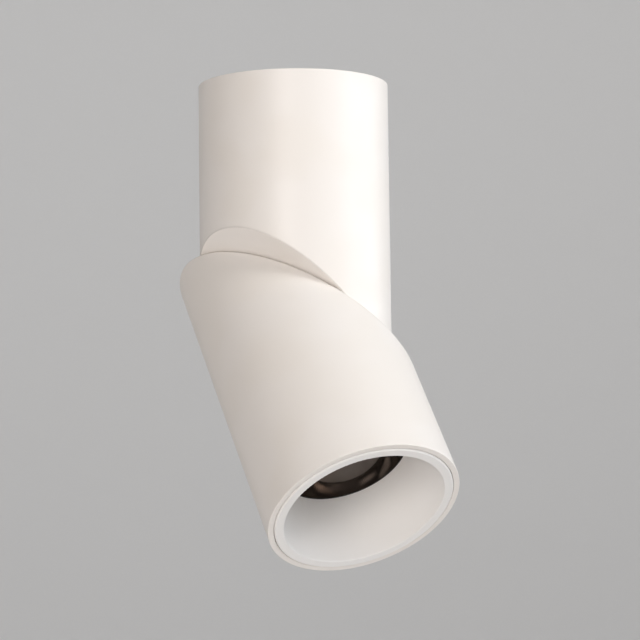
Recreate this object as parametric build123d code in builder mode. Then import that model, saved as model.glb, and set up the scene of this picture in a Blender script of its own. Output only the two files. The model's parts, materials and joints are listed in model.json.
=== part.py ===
from build123d import *
from math import cos, radians, sin, sqrt, tan
import os

# A ceiling spotlight made of two nearly equal tubes that meet at a cut on the bias. The lower tube, the
# head, turns about the normal of that cut and folds from straight down to a right angle. The whole lamp
# also swivels below its ceiling plate. Millimetres, +Z up. The origin is the centre of the ceiling plate's
# upper face.

# ---------------------------------------------------------------- driving dimensions

# the two casings
casing_diameter = 80.0
casing_wall = 2.5
bias_face = 4.0  # thickness of the closed end at the cut
joint_drop = 105.0  # ceiling to the centre of the twist joint
head_length = 95.0  # from there to the mouth
ceiling_gap = 0.5  # keeps the turning casing off the ceiling
joint_gap = 0.5  # hairline between the two bias faces
edge_round = 0.4
bias_angle = 45.0

# the pose at rest
swivel_at_rest = 47.5  # from +X; the head folds to the opposite side
twist_at_rest = 53.0  # from the straight position
swivel_limit = 170.0  # each way
fold_travel = 180.0  # from straight to folded at twice the bias angle

# fits and clearances
running_fit = 0.05  # radial, shaft in hole
seat_gap = 0.3  # between loose round pieces
face_play = 0.1  # between flat faces that slide

# ceiling plate
plate_gap = 2.5  # between its rim and the casing's bore
plate_thickness = 2.0
slot_margin = 3.0  # of the plate left past a slot
slot_length = 14.0
slot_width = 4.5
earth_screw_offset = 27.0
earth_thread = 4.0
earth_head = 7.0
earth_head_height = 2.6

# hollow post and its stack
post_bore = 11.0
post_journal = 16.0
post_collar = 22.0
collar_height = 3.5  # leaves room for the heads of the ceiling screws
washer_diameter = 26.0
friction_washer_diameter = 30.0
friction_washer_thickness = 0.8
thrust_washer_thickness = 1.0
spring_thickness = 0.8
spring_height = 1.5
nut_across_flats = 24.0
nut_thickness = 4.5
thread_end = 1.2  # thread that shows past a nut
bevel = 0.6

# turntable
turntable_thickness = 3.0
skirt_height = 11.7
skirt_wall = 2.0
window_length = 22.0
window_width = 12.0
window_circle = 50.0
stop_circle = 36.0
stop_pin = 3.0
stop_lug_depth = 3.0
grub_thread = 4.0
grub_drop = 13.0
grub_spread = 45.0  # each side of the back, where the upper casing is longest
grub_recess = 0.3
grub_socket = 2.0

# driver, its carrier and the terminal block
sheet = 1.2
carrier_width = 38.0
carrier_leg_width = 28.0
carrier_margin = 3.9  # from the carrier's round rim to the back of its leg
carrier_leg = 62.0
nut_hole = 29.2
carrier_screw_x = 19.0
carrier_screw_y = 14.0
driver_depth = 28.0
driver_width = 42.0
driver_top = 20.0
driver_bottom_gap = 3.4  # above the twist bolt
driver_round = 3.0
driver_lid_thickness = 2.0
block_depth = 12.0
block_width = 18.0
block_height = 13.0
block_front = 29.0
terminal_pitch = 6.0
terminal_hole = 3.4
terminal_depth = 8.0

# leads
mains_diameter = 5.0
lead_diameter = 4.4
mains_drop = 14.5
mains_bend = 6.4
lead_bend = 6.0
lead_rise = 7.0  # upright stretch below the driver
head_lead_bend = 10.0
lead_gap = 1.8  # between the head's lead and a screw pillar
lead_hole = 7.0

# twist joint
bolt_shank = 16.0
bolt_bore = 9.0
bolt_head_height = 4.0
joint_washer_diameter = 32.0
joint_washer_thickness = 1.2
twist_stop_circle = 48.0
twist_pin_reach = 1.8
twist_pin_seat = 3.0
track_play = 0.3
track_depth = 2.3

# light engine, counted back from the mouth
lip_proud = 0.4
lip_width = 3.8
lip_thickness = 3.0
lip_bevel = 0.5
baffle_gap = 0.2
baffle_depth = 27.0
baffle_end_radius = 27.0
baffle_wall = 1.6
spigot_length = 8.0
spigot_wall = 2.0
o_ring_section = 1.25
o_ring_drop = 5.0
ring_thickness = 0.5
ring_show = 0.1
ring_cover = 0.3
reflector_height = 21.4
reflector_show = 0.1
reflector_throat_radius = 9.0
reflector_wall = 1.0
holder_gap = 0.3
holder_radius = 20.0
holder_thickness = 4.0
holder_wing_cover = 4.0  # past the middle of the lead's hole
holder_wing_width = 14.0
holder_opening_radius = 8.0
holder_funnel_radius = 9.5
holder_screw_circle = 34.0
small_thread = 3.0
small_head = 5.5
small_head_height = 2.0
small_screw_length = 8.0
pad_side = 20.0
pad_thickness = 0.3
board_side = 19.0
board_thickness = 1.2
emitter_radius = 7.2
emitter_height = 0.5
sink_base = 5.0
sink_gap = 0.3
sink_bias_gap = 1.0
sink_screw_length = 11.0
nut_room = 2.0
fin_height = 29.0
fin_thickness = 1.8
fin_pitch = 6.5
fins_each_side = 4
fin_gap = 0.5  # between the fins and the screw pillars
pillar_inset = 4.0  # from the casing's bore to the middle of a screw pillar
pillar_diameter = 9.0

# ---------------------------------------------------------------- worked out from them

casing_radius = casing_diameter / 2
bore_radius = casing_radius - casing_wall
bias = radians(bias_angle)
overrun = casing_radius * tan(bias) + bias_face / cos(bias) + casing_wall
face_depth = joint_gap / 2 + bias_face  # from the joint plane to a casing's inner side

joint_point = Vector(0, 0, -joint_drop)
down = Vector(0, 0, -1)
fold_direction = Vector(1, 0, 0).rotate(Axis.Z, 180 + swivel_at_rest)
twist_direction = fold_direction * sin(bias) + down * cos(bias)
turn_line = Axis((0, 0, 0), twist_direction)
head_direction = down.rotate(turn_line, twist_at_rest)
head_fold = fold_direction.rotate(turn_line, twist_at_rest)
slope_direction = fold_direction * cos(bias) - down * sin(bias)

# planes that carry the sketches: x points to the side where the lamp folds
upper_plane = Plane(origin=(0, 0, 0), x_dir=fold_direction, z_dir=(0, 0, 1))
upper_section = Plane(origin=(0, 0, 0), x_dir=fold_direction, z_dir=fold_direction.cross(Vector(0, 0, 1)))
twist_plane = Plane(origin=joint_point, x_dir=slope_direction, z_dir=twist_direction)
twist_section = Plane(
    origin=joint_point, x_dir=slope_direction, z_dir=slope_direction.cross(twist_direction)
)
head_plane = Plane(origin=joint_point, x_dir=head_fold, z_dir=head_direction)
head_section = Plane(origin=joint_point, x_dir=head_fold, z_dir=head_fold.cross(head_direction))
twist_axis = Axis(joint_point, twist_direction)
head_axis = Axis(joint_point, head_direction)

# radii and places inside the casings
plate_radius = bore_radius - plate_gap
slot_spacing = 2 * (plate_radius - slot_margin) - slot_length
skirt_radius = bore_radius - seat_gap
carrier_radius = skirt_radius - skirt_wall - seat_gap
carrier_back = carrier_radius - carrier_margin
driver_back = carrier_back - sheet
pillar_circle = 2 * (bore_radius - pillar_inset)
fin_field_radius = pillar_circle / 2 - pillar_diameter / 2 - fin_gap
lead_offset = pillar_circle / 2 - pillar_diameter / 2 - lead_gap - lead_diameter / 2
holder_wing_end = lead_offset + holder_wing_cover

# levels below the ceiling, from the top down
collar_end = plate_thickness + collar_height
friction_top = collar_end + face_play
turntable_top = friction_top + friction_washer_thickness
turntable_end = turntable_top + turntable_thickness
thrust_top = turntable_end + face_play
spring_top = thrust_top + thrust_washer_thickness
nut_top = spring_top + spring_height
nut_end = nut_top + nut_thickness
carrier_end = turntable_end + sheet
nut_corner = nut_across_flats / sqrt(3)
bolt_head_end = face_depth + bolt_head_height
bolt_peak = bolt_head_end * cos(bias) + nut_corner * sin(bias)  # above the joint centre
driver_end = joint_drop - bolt_peak - driver_bottom_gap
block_end = carrier_end + block_height

# levels along the head, from the joint centre to the mouth
mouth = head_length
lip_front = mouth + lip_proud
lip_radius = bore_radius - baffle_gap
lip_bore_radius = lip_radius - lip_width
ring_bore_radius = baffle_end_radius - ring_show
ring_radius = baffle_end_radius + baffle_wall + ring_cover
reflector_mouth_radius = ring_bore_radius - reflector_show
baffle_end = mouth - baffle_depth
ring_end = baffle_end - ring_thickness
throat = ring_end - reflector_height
holder_front = throat - holder_gap
sink_front = holder_front - holder_thickness
sink_back = sink_front - sink_base

# levels along the twist axis, from the joint plane into the head
joint_pocket = (joint_washer_thickness + face_play - joint_gap) / 2
twist_thrust_top = face_depth
twist_spring_top = twist_thrust_top + thrust_washer_thickness + face_play
twist_nut_top = twist_spring_top + spring_height
twist_nut_end = twist_nut_top + nut_thickness
bolt_end = twist_nut_end + thread_end

journal_radius = post_journal / 2
shank_radius = bolt_shank / 2

os.makedirs("parts", exist_ok=True)


# ---------------------------------------------------------------- pieces that repeat


def ring(plane, bore, outer, thickness):
    """A flat ring that stands on the plane."""
    with BuildPart() as washer:
        with BuildSketch(plane):
            Circle(outer)
            Circle(bore, mode=Mode.SUBTRACT)
        extrude(amount=thickness)
    return washer


def disc_spring(section, axis, bore, outer, start, end):
    """A conical spring washer between two levels of the section's y."""
    with BuildPart() as spring:
        with BuildSketch(section):
            with BuildLine():
                Polyline(
                    (bore, start),
                    (bore, start + spring_thickness),
                    (outer, end),
                    (outer, end - spring_thickness),
                    close=True,
                )
            make_face()
        revolve(axis=axis)
    return spring


def hexagon_nut(plane, bore, thickness):
    """A hexagon nut that stands on the plane, its bore bevelled at both ends."""
    with BuildPart() as nut:
        with BuildSketch(plane):
            RegularPolygon(nut_across_flats / 2, 6, major_radius=False)
            Circle(bore, mode=Mode.SUBTRACT)
        extrude(amount=thickness)
        chamfer(nut.edges().filter_by(GeomType.CIRCLE), bevel)
    return nut


def screws(planes, thread, head, head_height, length):
    """Pan head screws: each head stands on its plane and the shank goes below it."""
    with BuildPart() as group:
        for plane in planes:
            with BuildSketch(plane):
                Circle(head / 2)
            extrude(amount=head_height)
            with BuildSketch(plane):
                Circle(thread / 2 - running_fit)
            extrude(amount=-length)
        crowns = group.edges().group_by(Axis(planes[0].origin, planes[0].z_dir))[-1]
        fillet(crowns, head_height / 3)
    return group


def spots(plane, circle, angles):
    """The plane moved to points on a circle."""
    return [
        Plane(
            origin=plane.from_local_coords((circle / 2 * cos(radians(a)), circle / 2 * sin(radians(a)), 0)),
            x_dir=plane.x_dir,
            z_dir=plane.z_dir,
        )
        for a in angles
    ]


# ---------------------------------------------------------------- fixed to the ceiling

# The lug is as wide as the stop pin leaves it at the swivel's limits.
stop_radius = stop_circle / 2
lug_half_width = stop_radius * sin(radians(180 - swivel_limit)) - stop_pin / 2 - running_fit

with BuildPart() as ceiling_plate:
    with BuildSketch(Plane.XY.offset(-plate_thickness)):
        Circle(plate_radius)
        Circle(journal_radius, mode=Mode.SUBTRACT)
        with GridLocations(slot_spacing, 0, 2, 1):
            SlotOverall(slot_length, slot_width, mode=Mode.SUBTRACT)
        with Locations((0, -earth_screw_offset)):
            Circle(earth_thread / 2, mode=Mode.SUBTRACT)
    extrude(amount=plate_thickness)
    rim_edges = ceiling_plate.edges().filter_by(GeomType.CIRCLE).sort_by(SortBy.RADIUS)[-2:]
    chamfer(rim_edges, edge_round)
    with BuildSketch(Plane.XY.offset(-plate_thickness)):
        with Locations((0, stop_radius)):
            Rectangle(2 * lug_half_width, stop_pin)
    extrude(amount=-stop_lug_depth)
ceiling_plate.part.label = "ceiling_plate"
export_step(ceiling_plate.part, "parts/ceiling_plate.step")

with BuildPart() as swivel_post:
    with BuildSketch():
        Circle(journal_radius)
    extrude(amount=-(nut_end + thread_end))
    with BuildSketch(Plane.XY.offset(-plate_thickness)):
        Circle(post_collar / 2)
    extrude(amount=-collar_height)
    with BuildSketch():
        Circle(post_bore / 2)
    extrude(amount=-(nut_end + thread_end), mode=Mode.SUBTRACT)
    post_rims = swivel_post.edges().filter_by(GeomType.CIRCLE).group_by(Axis.Z)
    chamfer(post_rims[0] + post_rims[-1].sort_by(SortBy.RADIUS)[:1], bevel)
swivel_post.part.label = "swivel_post"
export_step(swivel_post.part, "parts/swivel_post.step")

swivel_thrust_washer = ring(
    Plane.XY.offset(-spring_top), journal_radius + seat_gap, washer_diameter / 2, thrust_washer_thickness
)
swivel_thrust_washer.part.label = "swivel_thrust_washer"
export_step(swivel_thrust_washer.part, "parts/swivel_thrust_washer.step")

swivel_spring = disc_spring(
    Plane.XZ, Axis.Z, journal_radius + seat_gap, washer_diameter / 2, -nut_top, -spring_top
)
swivel_spring.part.label = "swivel_spring"
export_step(swivel_spring.part, "parts/swivel_spring.step")

swivel_nut = hexagon_nut(Plane.XY.offset(-nut_end), journal_radius + running_fit, nut_thickness)
swivel_nut.part.label = "swivel_nut"
export_step(swivel_nut.part, "parts/swivel_nut.step")

earth_plane = Plane(origin=(0, -earth_screw_offset, -plate_thickness), z_dir=down)
earth_screw = screws([earth_plane], earth_thread, earth_head, earth_head_height, plate_thickness)
earth_screw.part.label = "earth_screw"
export_step(earth_screw.part, "parts/earth_screw.step")

# ---------------------------------------------------------------- turns on the swivel

grub_planes = [
    Plane(
        origin=(0, 0, -grub_drop),
        x_dir=(0, 0, 1),
        z_dir=fold_direction.rotate(Axis.Z, 180 + side * grub_spread),
    )
    for side in (-1, 1)
]
carrier_holes = [(carrier_screw_x, carrier_screw_y), (-carrier_screw_x, -carrier_screw_y)]

with BuildPart() as turntable:
    with BuildSketch(upper_plane.offset(-turntable_top)):
        Circle(skirt_radius)
    extrude(amount=-turntable_thickness)
    with BuildSketch(upper_plane.offset(-turntable_end)):
        Circle(skirt_radius)
        Circle(skirt_radius - skirt_wall, mode=Mode.SUBTRACT)
    extrude(amount=turntable_thickness - skirt_height)
    with BuildSketch(upper_plane.offset(-turntable_top)):
        Circle(journal_radius + running_fit)
        with PolarLocations(window_circle / 2, 2, start_angle=90):
            SlotOverall(window_length, window_width, rotation=90)
        with Locations(*carrier_holes):
            Circle(small_thread / 2)
        with PolarLocations(stop_radius, 1, start_angle=90 - swivel_at_rest):
            Circle(stop_pin / 2)
    extrude(amount=-turntable_thickness, mode=Mode.SUBTRACT)
    for plane in grub_planes:
        with BuildSketch(plane.offset(skirt_radius - 2 * skirt_wall)):
            Circle(grub_thread / 2)
        extrude(amount=3 * skirt_wall, mode=Mode.SUBTRACT)
turntable.part.label = "turntable"
export_step(turntable.part, "parts/turntable.step")

swivel_friction_washer = ring(
    Plane.XY.offset(-turntable_top),
    journal_radius + seat_gap,
    friction_washer_diameter / 2,
    friction_washer_thickness,
)
swivel_friction_washer.part.label = "swivel_friction_washer"
export_step(swivel_friction_washer.part, "parts/swivel_friction_washer.step")

with BuildPart() as swivel_stop_pin:
    with BuildSketch(upper_plane.offset(-turntable_end)):
        with PolarLocations(stop_radius, 1, start_angle=90 - swivel_at_rest):
            Circle(stop_pin / 2)
    extrude(amount=turntable_end - plate_thickness - seat_gap)
swivel_stop_pin.part.label = "swivel_stop_pin"
export_step(swivel_stop_pin.part, "parts/swivel_stop_pin.step")

# The driver hangs on a bent bracket below the turntable, with the supply terminals beside it.
with BuildPart() as driver_carrier:
    with BuildSketch(upper_plane.offset(-carrier_end)):
        Circle(carrier_radius)
        with Locations(((carrier_radius - carrier_back) / 2, 0)):
            Rectangle(carrier_radius + carrier_back, carrier_width, mode=Mode.INTERSECT)
        Circle(nut_hole / 2, mode=Mode.SUBTRACT)
        with Locations(*carrier_holes):
            Circle(small_thread / 2 + running_fit, mode=Mode.SUBTRACT)
    extrude(amount=sheet)
    with BuildSketch(upper_plane.offset(-turntable_end)):
        with Locations((sheet / 2 - carrier_back, 0)):
            Rectangle(sheet, carrier_leg_width)
    extrude(amount=-carrier_leg)
driver_carrier.part.label = "driver_carrier"
export_step(driver_carrier.part, "parts/driver_carrier.step")

carrier_screw_planes = [
    Plane(origin=upper_plane.from_local_coords((x, y, -carrier_end)), z_dir=down) for x, y in carrier_holes
]
carrier_screws = screws(
    carrier_screw_planes, small_thread, small_head, small_head_height, sheet + turntable_thickness
)
carrier_screws.part.label = "carrier_screws"
export_step(carrier_screws.part, "parts/carrier_screws.step")

driver_length = driver_end - driver_top
housing_depth = driver_depth - driver_lid_thickness

with BuildPart() as driver_housing:
    with BuildSketch(upper_plane.offset(-driver_end)):
        with Locations((housing_depth / 2 - driver_back, 0)):
            Rectangle(housing_depth, driver_width)
    extrude(amount=driver_length)
    back_face = driver_housing.faces().sort_by(Axis((0, 0, 0), fold_direction))[0]
    fillet(back_face.edges(), driver_round)
driver_housing.part.label = "driver_housing"
export_step(driver_housing.part, "parts/driver_housing.step")

with BuildPart() as driver_lid:
    with BuildSketch(upper_plane.offset(-driver_end)):
        with Locations((driver_depth - driver_lid_thickness / 2 - driver_back, 0)):
            Rectangle(driver_lid_thickness, driver_width)
    extrude(amount=driver_length)
    front_face = driver_lid.faces().sort_by(Axis((0, 0, 0), fold_direction))[-1]
    chamfer(front_face.edges(), bevel)
driver_lid.part.label = "driver_lid"
export_step(driver_lid.part, "parts/driver_lid.step")

block_middle = block_front - block_depth / 2
block_back_plane = Plane(
    origin=upper_plane.from_local_coords((block_front - block_depth, 0, -carrier_end - block_height / 2)),
    x_dir=upper_plane.y_dir,
    z_dir=-fold_direction,
)

with BuildPart() as terminal_block:
    with BuildSketch(upper_plane.offset(-block_end)):
        with Locations((block_middle, 0)):
            Rectangle(block_depth, block_width)
    extrude(amount=block_height)
    with BuildSketch(block_back_plane):
        with GridLocations(terminal_pitch, 0, 3, 1):
            Circle(terminal_hole / 2)
    extrude(amount=-terminal_depth, mode=Mode.SUBTRACT)
terminal_block.part.label = "terminal_block"
export_step(terminal_block.part, "parts/terminal_block.step")

with BuildPart() as mains_lead:
    with BuildLine(upper_section) as mains_route:
        FilletPolyline(
            (block_middle, -block_end),
            (block_middle, -block_end - mains_drop),
            (driver_depth - driver_back, -block_end - mains_drop),
            radius=mains_bend,
        )
    with BuildSketch(Plane(origin=mains_route.line @ 0, z_dir=mains_route.line % 0)):
        Circle(mains_diameter / 2)
    sweep()
mains_lead.part.label = "mains_lead"
export_step(mains_lead.part, "parts/mains_lead.step")

# The cavity ends at the inner side of the bias face.
with BuildPart() as upper_cavity:
    with BuildSketch():
        Circle(bore_radius)
    extrude(amount=-(joint_drop + overrun))
    split(bisect_by=twist_plane.offset(-face_depth), keep=Keep.BOTTOM)

with BuildPart() as upper_casing:
    with BuildSketch(Plane.XY.offset(-ceiling_gap)):
        Circle(casing_radius)
    extrude(amount=-(joint_drop + overrun))
    split(bisect_by=twist_plane.offset(-joint_gap / 2), keep=Keep.BOTTOM)
    fillet(upper_casing.edges().filter_by(GeomType.ELLIPSE), edge_round)
    fillet(upper_casing.edges().filter_by(GeomType.CIRCLE).sort_by(Axis.Z)[-1], edge_round)
    add(upper_cavity.part, mode=Mode.SUBTRACT)
    with BuildSketch(twist_plane.offset(-face_depth)):
        Circle(shank_radius + running_fit)
    extrude(amount=bias_face, mode=Mode.SUBTRACT)
    with BuildSketch(twist_plane.offset(-joint_gap / 2)):
        Circle(joint_washer_diameter / 2 + seat_gap)
    extrude(amount=-joint_pocket, mode=Mode.SUBTRACT)
    with BuildSketch(twist_plane.offset(-joint_gap / 2)):
        with PolarLocations(twist_stop_circle / 2, 1, start_angle=90):
            Circle(stop_pin / 2)
    extrude(amount=-twist_pin_seat, mode=Mode.SUBTRACT)
    for plane in grub_planes:
        with BuildSketch(plane.offset(bore_radius - casing_wall)):
            Circle(grub_thread / 2)
        extrude(amount=3 * casing_wall, mode=Mode.SUBTRACT)
upper_casing.part.label = "upper_casing"
export_step(upper_casing.part, "parts/upper_casing.step")

grub_tip = skirt_radius - skirt_wall - seat_gap
with BuildPart() as casing_grub_screws:
    for plane in grub_planes:
        with BuildSketch(plane.offset(grub_tip)):
            Circle(grub_thread / 2 - running_fit)
        extrude(amount=casing_radius - grub_recess - grub_tip)
        with BuildSketch(plane.offset(casing_radius - grub_recess)):
            RegularPolygon(grub_socket / 2, 6, major_radius=False)
        extrude(amount=-grub_socket, mode=Mode.SUBTRACT)
casing_grub_screws.part.label = "casing_grub_screws"
export_step(casing_grub_screws.part, "parts/casing_grub_screws.step")

with BuildPart() as twist_bolt:
    with BuildSketch(twist_plane.offset(-bolt_head_end)):
        RegularPolygon(nut_across_flats / 2, 6, major_radius=False)
    extrude(amount=bolt_head_height)
    with BuildSketch(twist_plane.offset(-face_depth)):
        Circle(shank_radius)
    extrude(amount=face_depth + bolt_end)
    with BuildSketch(twist_plane.offset(-bolt_head_end)):
        Circle(bolt_bore / 2)
    extrude(amount=bolt_head_end + bolt_end, mode=Mode.SUBTRACT)
    bolt_rims = twist_bolt.edges().filter_by(GeomType.CIRCLE).group_by(twist_axis)
    chamfer(bolt_rims[0] + bolt_rims[-1], bevel)
twist_bolt.part.label = "twist_bolt"
export_step(twist_bolt.part, "parts/twist_bolt.step")

twist_friction_washer = ring(
    twist_plane.offset(-joint_gap / 2 - joint_pocket),
    shank_radius + seat_gap,
    joint_washer_diameter / 2,
    joint_washer_thickness,
)
twist_friction_washer.part.label = "twist_friction_washer"
export_step(twist_friction_washer.part, "parts/twist_friction_washer.step")

twist_spring = disc_spring(
    twist_section, twist_axis, shank_radius + seat_gap, washer_diameter / 2, twist_spring_top, twist_nut_top
)
twist_spring.part.label = "twist_spring"
export_step(twist_spring.part, "parts/twist_spring.step")

twist_nut = hexagon_nut(twist_plane.offset(twist_nut_top), shank_radius + running_fit, nut_thickness)
twist_nut.part.label = "twist_nut"
export_step(twist_nut.part, "parts/twist_nut.step")

with BuildPart() as twist_stop_pin:
    with BuildSketch(twist_plane.offset(-joint_gap / 2 - twist_pin_seat)):
        with PolarLocations(twist_stop_circle / 2, 1, start_angle=90):
            Circle(stop_pin / 2)
    extrude(amount=twist_pin_seat + joint_gap + twist_pin_reach)
twist_stop_pin.part.label = "twist_stop_pin"
export_step(twist_stop_pin.part, "parts/twist_stop_pin.step")

# The lead runs on the axis of the joint, so that the head turns round it.
lead_run = (joint_drop - driver_end - lead_rise) / cos(bias)
with BuildPart() as led_lead_upper:
    with BuildLine(upper_section) as upper_route:
        FilletPolyline(
            (0, -joint_drop),
            (-lead_run * sin(bias), lead_run * cos(bias) - joint_drop),
            (-lead_run * sin(bias), -driver_end),
            radius=lead_bend,
        )
    with BuildSketch(Plane(origin=upper_route.line @ 0, z_dir=upper_route.line % 0)):
        Circle(lead_diameter / 2)
    sweep()
led_lead_upper.part.label = "led_lead_upper"
export_step(led_lead_upper.part, "parts/led_lead_upper.step")

# ---------------------------------------------------------------- turns on the twist joint

pillar_angles = (0, 120, 240)  # from the folding side
stop_track = CenterArc((0, 0), twist_stop_circle / 2, 90 + twist_at_rest - fold_travel, fold_travel)

with BuildPart() as head_cavity:
    with BuildSketch(head_plane.offset(mouth)):
        Circle(bore_radius)
    extrude(amount=-(mouth + overrun))
    split(bisect_by=twist_plane.offset(face_depth), keep=Keep.TOP)
    with BuildSketch(head_plane.offset(sink_back)):
        with PolarLocations(pillar_circle / 2, len(pillar_angles)):
            Circle(pillar_diameter / 2)
    extrude(amount=-(sink_back + overrun), mode=Mode.SUBTRACT)

with BuildPart() as head_casing:
    with BuildSketch(head_plane.offset(mouth)):
        Circle(casing_radius)
    extrude(amount=-(mouth + overrun))
    split(bisect_by=twist_plane.offset(joint_gap / 2), keep=Keep.TOP)
    fillet(head_casing.edges().filter_by(GeomType.ELLIPSE), edge_round)
    add(head_cavity.part, mode=Mode.SUBTRACT)
    rims = head_casing.edges().filter_by(GeomType.CIRCLE).group_by(head_axis)[-1]
    fillet(rims, edge_round)
    with BuildSketch(twist_plane):
        Circle(shank_radius + running_fit)
    extrude(amount=face_depth, mode=Mode.SUBTRACT)
    with BuildSketch(twist_plane):
        Circle(joint_washer_diameter / 2 + seat_gap)
    extrude(amount=joint_gap / 2 + joint_pocket, mode=Mode.SUBTRACT)
    with BuildSketch(twist_plane):
        SlotArc(stop_track, stop_pin + 2 * track_play)
    extrude(amount=joint_gap / 2 + track_depth, mode=Mode.SUBTRACT)
    with BuildSketch(head_plane.offset(sink_back)):
        with PolarLocations(pillar_circle / 2, len(pillar_angles)):
            Circle(small_thread / 2)
    extrude(amount=sink_base - sink_screw_length - track_play, mode=Mode.SUBTRACT)
head_casing.part.label = "head_casing"
export_step(head_casing.part, "parts/head_casing.step")

twist_thrust_washer = ring(
    twist_plane.offset(twist_thrust_top),
    shank_radius + seat_gap,
    washer_diameter / 2,
    thrust_washer_thickness,
)
twist_thrust_washer.part.label = "twist_thrust_washer"
export_step(twist_thrust_washer.part, "parts/twist_thrust_washer.step")

# The fins and the base end on a plane along the bias face, with room for the nut and the lead.
fin_rows = [side * row * fin_pitch for row in range(1, fins_each_side + 1) for side in (-1, 1)]

with BuildPart() as heat_sink:
    with BuildSketch(head_plane.offset(sink_back)):
        Circle(bore_radius - sink_gap)
    extrude(amount=sink_base)
    with BuildSketch(head_plane.offset(sink_back)):
        with Locations(*[(0, row) for row in fin_rows]):
            Rectangle(2 * fin_field_radius, fin_thickness)
        Circle(fin_field_radius, mode=Mode.INTERSECT)
    extrude(amount=-fin_height)
    split(bisect_by=twist_plane.offset(face_depth + sink_bias_gap), keep=Keep.TOP)
    with BuildSketch(twist_plane):
        Circle(nut_corner + nut_room)
    extrude(amount=bolt_end + nut_room, mode=Mode.SUBTRACT)
    with BuildSketch(head_plane.offset(sink_front)):
        with Locations((lead_offset, 0)):
            Circle(lead_hole / 2)
        with PolarLocations(pillar_circle / 2, len(pillar_angles)):
            Circle(small_thread / 2 + running_fit)
        with PolarLocations(holder_screw_circle / 2, 2, start_angle=90):
            Circle(small_thread / 2)
    extrude(amount=-sink_base, mode=Mode.SUBTRACT)
heat_sink.part.label = "heat_sink"
export_step(heat_sink.part, "parts/heat_sink.step")

heat_sink_screws = screws(
    spots(head_plane.offset(sink_front), pillar_circle, pillar_angles),
    small_thread,
    small_head,
    small_head_height,
    sink_screw_length,
)
heat_sink_screws.part.label = "heat_sink_screws"
export_step(heat_sink_screws.part, "parts/heat_sink_screws.step")

with BuildPart() as thermal_pad:
    with BuildSketch(head_plane.offset(sink_front)):
        Rectangle(pad_side, pad_side)
    extrude(amount=pad_thickness)
thermal_pad.part.label = "thermal_pad"
export_step(thermal_pad.part, "parts/thermal_pad.step")

board_back = sink_front + pad_thickness
with BuildPart() as cob_board:
    with BuildSketch(head_plane.offset(board_back)):
        Rectangle(board_side, board_side)
    extrude(amount=board_thickness)
cob_board.part.label = "cob_board"
export_step(cob_board.part, "parts/cob_board.step")

board_front = board_back + board_thickness
with BuildPart() as cob_emitter:
    with BuildSketch(head_plane.offset(board_front)):
        Circle(emitter_radius)
    extrude(amount=emitter_height)
cob_emitter.part.label = "cob_emitter"
export_step(cob_emitter.part, "parts/cob_emitter.step")

wing_length = holder_wing_end - holder_radius / 2
with BuildPart() as led_holder:
    with BuildSketch(head_plane.offset(sink_front)):
        Circle(holder_radius)
        with Locations((holder_wing_end - wing_length / 2, 0)):
            Rectangle(wing_length, holder_wing_width)
        Circle(holder_opening_radius, mode=Mode.SUBTRACT)
        with PolarLocations(holder_screw_circle / 2, 2, start_angle=90):
            Circle(small_thread / 2 + running_fit, mode=Mode.SUBTRACT)
    extrude(amount=holder_thickness)
    with BuildSketch(head_plane.offset(holder_front)):
        Circle(holder_funnel_radius)
    extrude(amount=-(holder_funnel_radius - holder_opening_radius), taper=45, mode=Mode.SUBTRACT)
    with BuildSketch(head_plane.offset(sink_front)):
        Rectangle(pad_side + seat_gap, pad_side + seat_gap)
    extrude(amount=pad_thickness + board_thickness, mode=Mode.SUBTRACT)
led_holder.part.label = "led_holder"
export_step(led_holder.part, "parts/led_holder.step")

led_holder_screws = screws(
    spots(head_plane.offset(holder_front), holder_screw_circle, (90, 270)),
    small_thread,
    small_head,
    small_head_height,
    small_screw_length,
)
led_holder_screws.part.label = "led_holder_screws"
export_step(led_holder_screws.part, "parts/led_holder_screws.step")

with BuildPart() as led_lead_head:
    with BuildLine(head_section) as head_route:
        FilletPolyline(
            (0, 0), (lead_offset, lead_offset / tan(bias)), (lead_offset, sink_front), radius=head_lead_bend
        )
    with BuildSketch(Plane(origin=head_route.line @ 0, z_dir=head_route.line % 0)):
        Circle(lead_diameter / 2)
    sweep()
led_lead_head.part.label = "led_lead_head"
export_step(led_lead_head.part, "parts/led_lead_head.step")


def parabola_middle(start, end):
    """Middle control point of the parabola about the head's axis through two points."""
    steepness = (end[1] - start[1]) / (end[0] ** 2 - start[0] ** 2)
    return ((start[0] + end[0]) / 2, start[1] + steepness * start[0] * (end[0] - start[0]))


mirror_start = (reflector_throat_radius, throat)
mirror_end = (reflector_mouth_radius, ring_end)
back_start = (reflector_throat_radius + reflector_wall, throat)
back_end = (reflector_mouth_radius + reflector_wall, ring_end - reflector_wall)

with BuildPart() as reflector:
    with BuildSketch(head_section):
        with BuildLine():
            Bezier(mirror_start, parabola_middle(mirror_start, mirror_end), mirror_end)
            Polyline(mirror_end, (ring_radius, ring_end), (ring_radius, ring_end - reflector_wall), back_end)
            Bezier(back_end, parabola_middle(back_start, back_end), back_start)
            Line(back_start, mirror_start)
        make_face()
    revolve(axis=head_axis)
reflector.part.label = "reflector"
export_step(reflector.part, "parts/reflector.step")

reflector_ring = ring(head_plane.offset(ring_end), ring_bore_radius, ring_radius, ring_thickness)
reflector_ring.part.label = "reflector_ring"
export_step(reflector_ring.part, "parts/reflector_ring.step")

spigot_top = lip_front - lip_thickness
spigot_end = spigot_top - spigot_length
cone_slope = (lip_bore_radius - baffle_end_radius) / (lip_front - baffle_end)
cone_back_radius = lip_bore_radius - cone_slope * lip_thickness + baffle_wall
o_ring_seat = bore_radius - running_fit - o_ring_section
o_ring_level = spigot_top - o_ring_drop

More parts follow.
